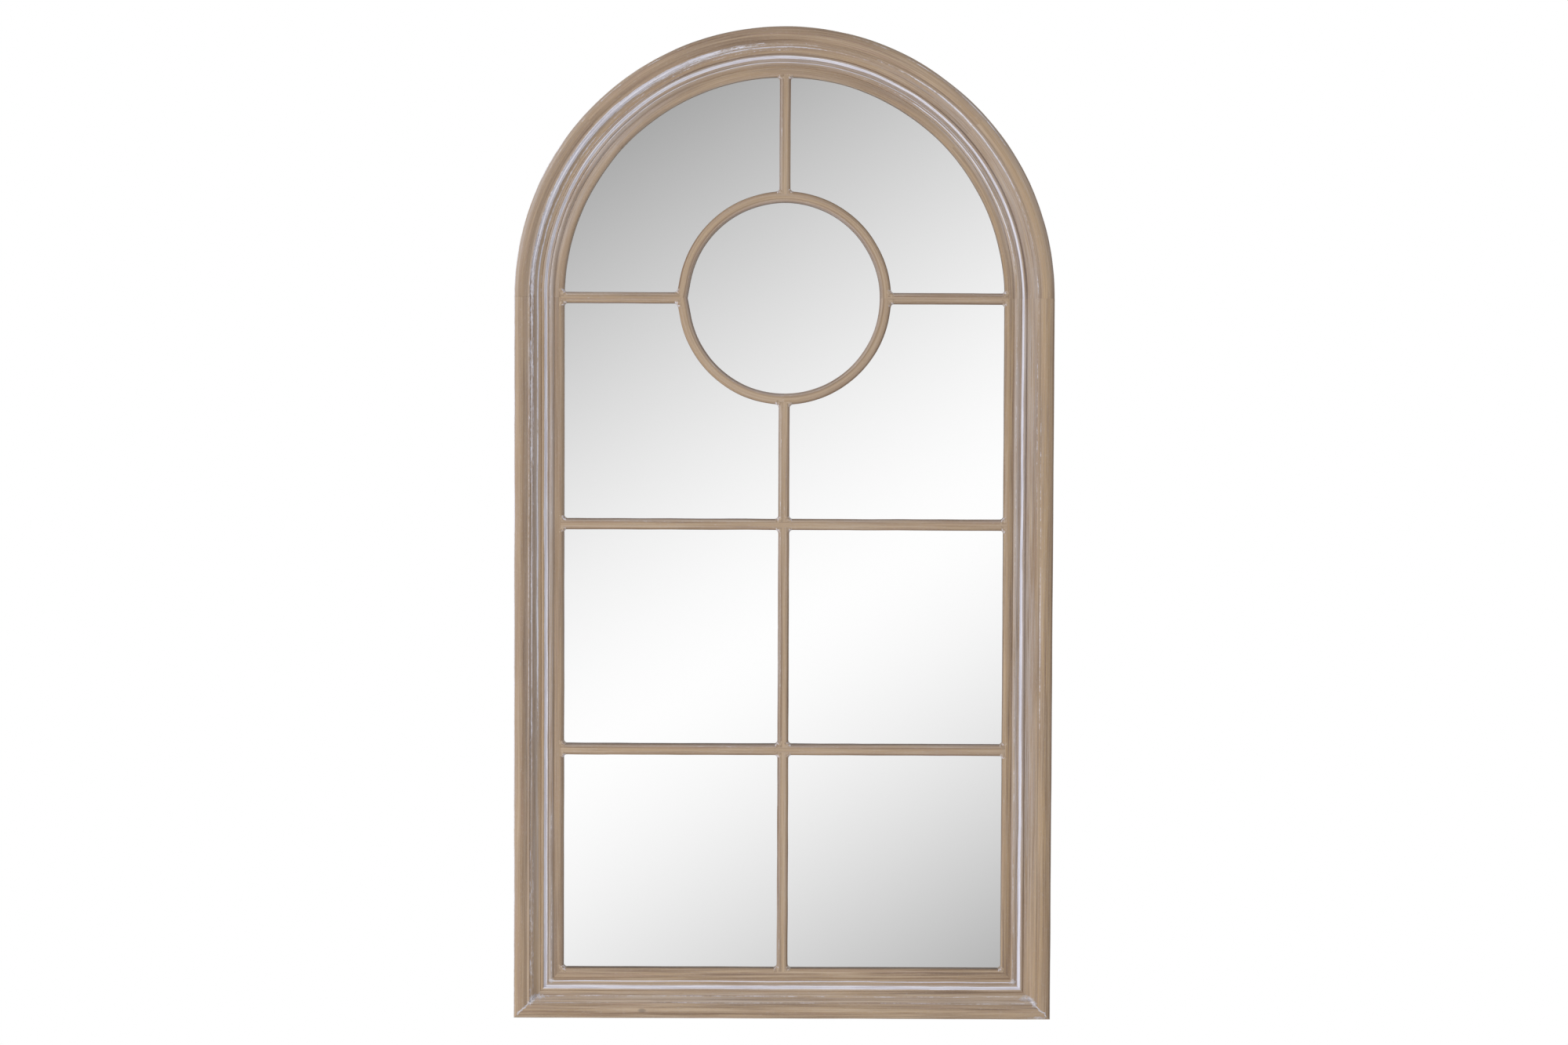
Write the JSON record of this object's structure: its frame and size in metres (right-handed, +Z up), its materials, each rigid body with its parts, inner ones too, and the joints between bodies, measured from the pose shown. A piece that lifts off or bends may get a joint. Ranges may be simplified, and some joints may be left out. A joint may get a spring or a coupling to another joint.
{
  "type": "arched window mirror",
  "caption": "Tall wall mirror in the form of a round-headed window, with a moulded timber frame, flush glazing bars and a ring in the arch.",
  "frame": {"origin": "middle of the mirror's back plane, on the backing board, half way up and on the centre line", "axes": "+X to the right as seen from the front, +Y out of the back towards the wall, +Z up; the glass faces -Y"},
  "size_m": [0.76, 0.04, 1.4],
  "materials": {
    "timber": "brushed and limed light brown",
    "filler": "painted over, rubbed pale",
    "mirror": "silvered glass",
    "board": "raw hardboard",
    "steel": "zinc plated",
    "dowel_wood": "plain beech",
    "rubber": "matt black"
  },
  "bodies": {
    "mirror": {"left_stile": "timber", "right_stile": "timber", "bottom_rail": "timber", "arch_left_segment": "timber", "arch_crown_segment": "timber", "arch_right_segment": "timber", "ring_upper_half": "timber", "ring_lower_half": "timber", "top_spoke": "timber", "left_spoke": "timber", "right_spoke": "timber", "spine_upper": "timber", "spine_middle": "timber", "spine_lower": "timber", "upper_cross_bar": "timber", "lower_cross_bar": "timber", "ring_corner_beads": "filler", "crossing_corner_beads": "filler", "frame_corner_beads": "filler", "mirror_glass": "mirror", "backing_board": "board", "arch_dowels": "dowel_wood", "wall_bumpers": "rubber", "board_screws": "steel", "mitre_nails": "steel", "left_hanger_strap": "steel", "right_hanger_strap": "steel", "hanger_screws": "steel"},
    "left_ring": {"left_hanger_ring": "steel"},
    "right_ring": {"right_hanger_ring": "steel"}
  },
  "joints": [
    {"name": "left_ring_swing", "type": "hinge", "parent": "mirror", "child": "left_ring", "pos_m": [-0.357, 0.00233, 0.26], "axis": [1, 0, 0], "range_deg": [0, 178.5]},
    {"name": "right_ring_swing", "type": "hinge", "parent": "mirror", "child": "right_ring", "pos_m": [0.357, 0.00233, 0.26], "axis": [1, 0, 0], "range_deg": [0, 178.5]}
  ]
}
